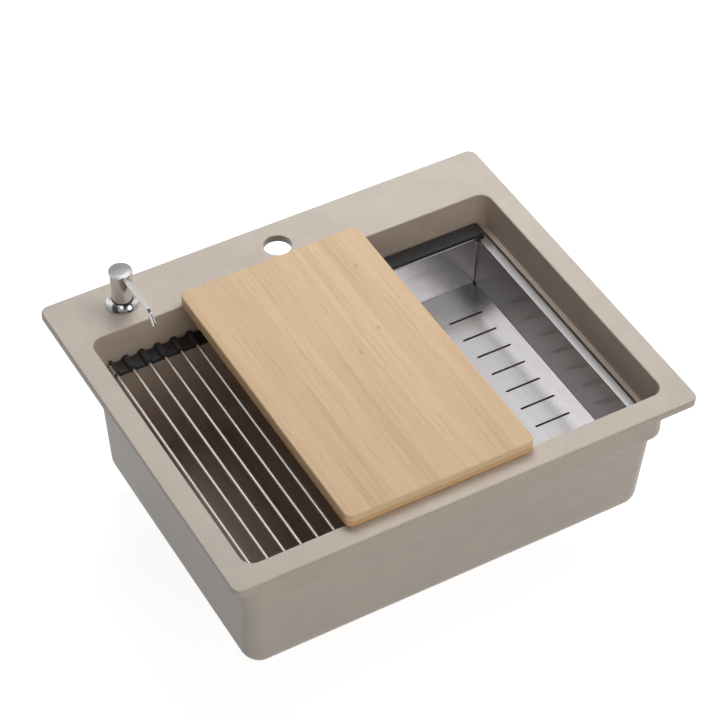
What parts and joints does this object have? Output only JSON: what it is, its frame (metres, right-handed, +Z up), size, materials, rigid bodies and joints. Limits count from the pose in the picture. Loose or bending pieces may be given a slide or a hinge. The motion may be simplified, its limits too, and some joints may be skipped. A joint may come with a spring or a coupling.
{
  "type": "workstation kitchen sink",
  "caption": "Inset stone-composite workstation sink with a deck, a cutting board, a roll-up rack, a hanging colander, a soap dispenser, a basket strainer waste and an overflow.",
  "frame": {"origin": "centre of the rim's plan, at the underside of the rim where it lies on the worktop", "axes": "+X to the right along the rim's long side, +Y to the back where the deck is, +Z up"},
  "size_m": [0.595, 0.5, 0.332],
  "materials": {
    "stone": "satin moulded stone composite",
    "board_wood": "oiled pale hardwood",
    "rod_steel": "polished",
    "tray_steel": "brushed",
    "fitting_steel": "polished",
    "plain_steel": "plain",
    "chrome": "polished",
    "rubber": "matt",
    "rail_plastic": "satin",
    "dark_plastic": "matt",
    "clear_plastic": "translucent"
  },
  "bodies": {
    "sink": {"sink_basin": "stone", "dispenser_collar": "chrome", "dispenser_washer": "rubber", "dispenser_nut": "dark_plastic", "pump_housing": "dark_plastic", "pump_guide": "dark_plastic", "pump_spring": "plain_steel", "inlet_ball": "plain_steel", "dip_tube": "clear_plastic", "soap_bottle": "clear_plastic", "waste_flange": "fitting_steel", "flange_gasket": "rubber", "body_gasket": "rubber", "waste_body": "dark_plastic", "waste_screw": "plain_steel", "overflow_cover": "fitting_steel", "overflow_gasket": "rubber", "overflow_elbow": "dark_plastic", "overflow_screw": "plain_steel"},
    "board": {"cutting_board": "board_wood"},
    "rack": {"rack_rods": "rod_steel", "rack_strip_back": "rubber", "rack_strip_front": "rubber"},
    "colander": {"colander_tray": "tray_steel", "colander_rail_back": "rail_plastic", "colander_rail_front": "rail_plastic"},
    "pump": {"pump_stem": "dark_plastic"},
    "spout": {"dispenser_head": "chrome", "dispenser_spout": "chrome"},
    "strainer": {"strainer_basket": "fitting_steel", "strainer_stem": "fitting_steel", "strainer_seal": "rubber"},
    "roll_1": {"roll_rod_1": "rod_steel", "roll_link_back_1": "rubber", "roll_link_front_1": "rubber"},
    "roll_2": {"roll_rod_2": "rod_steel", "roll_link_back_2": "rubber", "roll_link_front_2": "rubber"},
    "roll_3": {"roll_rod_3": "rod_steel", "roll_link_back_3": "rubber", "roll_link_front_3": "rubber"},
    "roll_4": {"roll_rod_4": "rod_steel", "roll_link_back_4": "rubber", "roll_link_front_4": "rubber"}
  },
  "joints": [
    {"name": "board_slide", "type": "slide", "parent": "sink", "child": "board", "axis": [1, 0, 0], "range_m": [-0.14, 0.2]},
    {"name": "rack_slide", "type": "slide", "parent": "sink", "child": "rack", "axis": [1, 0, 0], "range_m": [0, 0.02]},
    {"name": "colander_slide", "type": "slide", "parent": "sink", "child": "colander", "axis": [1, 0, 0], "range_m": [-0.04, 0]},
    {"name": "pump_press", "type": "slide", "parent": "sink", "child": "pump", "axis": [0, 0, -1], "range_m": [0, 0.012], "stiffness_N_per_m": 400, "springref_m": -0.005, "deforming": ["pump_spring"]},
    {"name": "spout_swivel", "type": "hinge", "parent": "pump", "child": "spout", "pos_m": [-0.2065, 0.2105, 0.05], "axis": [0, 0, 1], "continuous": true},
    {"name": "strainer_lift", "type": "slide", "parent": "sink", "child": "strainer", "axis": [0, 0, 1], "range_m": [0, 0.06]},
    {"name": "roll_up_4", "type": "hinge", "parent": "rack", "child": "roll_4", "pos_m": [-0.17385, -0.02425, -0.036], "axis": [0, 1, 0], "range_deg": [0, 40]},
    {"name": "roll_up_3", "type": "hinge", "parent": "roll_4", "child": "roll_3", "pos_m": [-0.19475, -0.02425, -0.036], "axis": [0, 1, 0], "range_deg": [0, 40]},
    {"name": "roll_up_2", "type": "hinge", "parent": "roll_3", "child": "roll_2", "pos_m": [-0.21565, -0.02425, -0.036], "axis": [0, 1, 0], "range_deg": [0, 40]},
    {"name": "roll_up_1", "type": "hinge", "parent": "roll_2", "child": "roll_1", "pos_m": [-0.23655, -0.02425, -0.036], "axis": [0, 1, 0], "range_deg": [0, 40]}
  ],
  "couplings": [
    {"joint": "roll_up_3", "follows": "roll_up_4", "ratio": 1},
    {"joint": "roll_up_2", "follows": "roll_up_4", "ratio": 1},
    {"joint": "roll_up_1", "follows": "roll_up_4", "ratio": 1}
  ]
}
